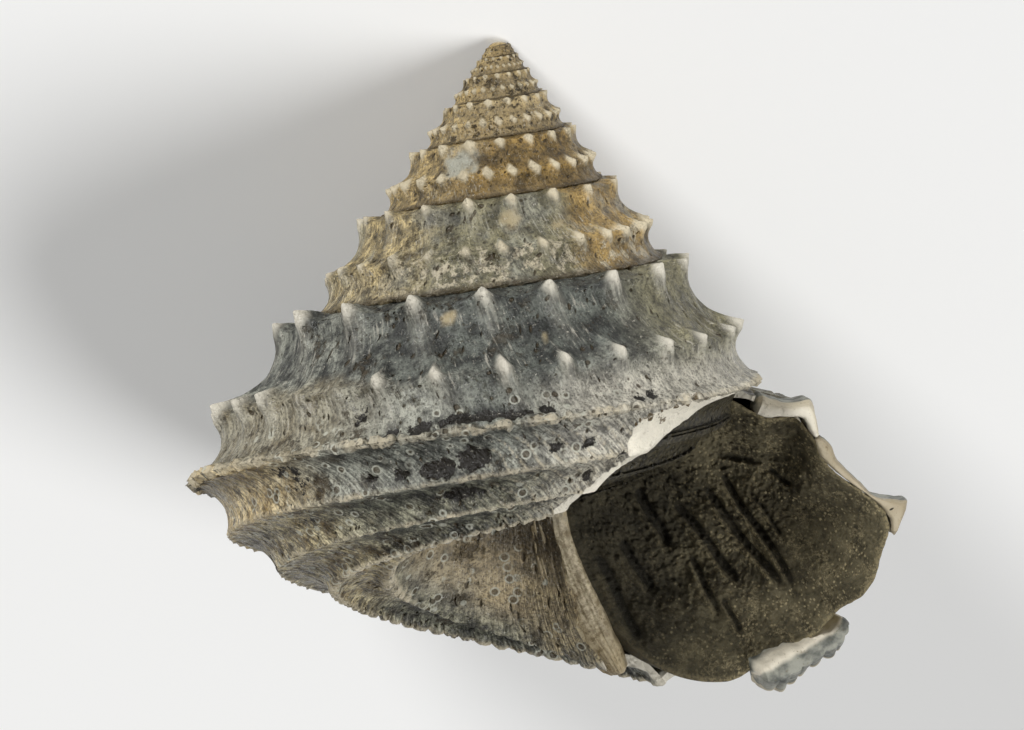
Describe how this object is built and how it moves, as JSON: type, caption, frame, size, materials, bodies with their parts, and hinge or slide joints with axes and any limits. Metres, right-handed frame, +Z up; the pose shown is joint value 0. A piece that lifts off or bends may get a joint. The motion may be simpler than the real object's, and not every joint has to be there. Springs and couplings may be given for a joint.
{
  "type": "fossil top shell",
  "caption": "Fossil top shell laid on its back, mouth up: tall spiny spire, sharp keel, open umbilicus, mouth plugged with dark hardened sediment, outer lip broken into pieces.",
  "frame": {"origin": "on the resting surface, under the centre of the fossil's box", "axes": "+Z up from the resting surface; the spire points along +Y and dips to the surface; the mouth faces up, with the outer lip towards +X"},
  "size_m": [0.0176, 0.0158, 0.0116],
  "materials": {
    "weathered_shell": "worn calcite shell, grey and cream, slightly glossy in places",
    "dark_sediment": "grainy hardened sediment, rough broken face",
    "chalky_lip": "pale chalky broken lip"
  },
  "bodies": {
    "root": {"shell": "weathered_shell", "matrix_fill": "dark_sediment", "upper_lip_fragment": "chalky_lip", "outer_lip_fragment": "chalky_lip", "base_lip_fragment": "chalky_lip"}
  },
  "joints": []
}
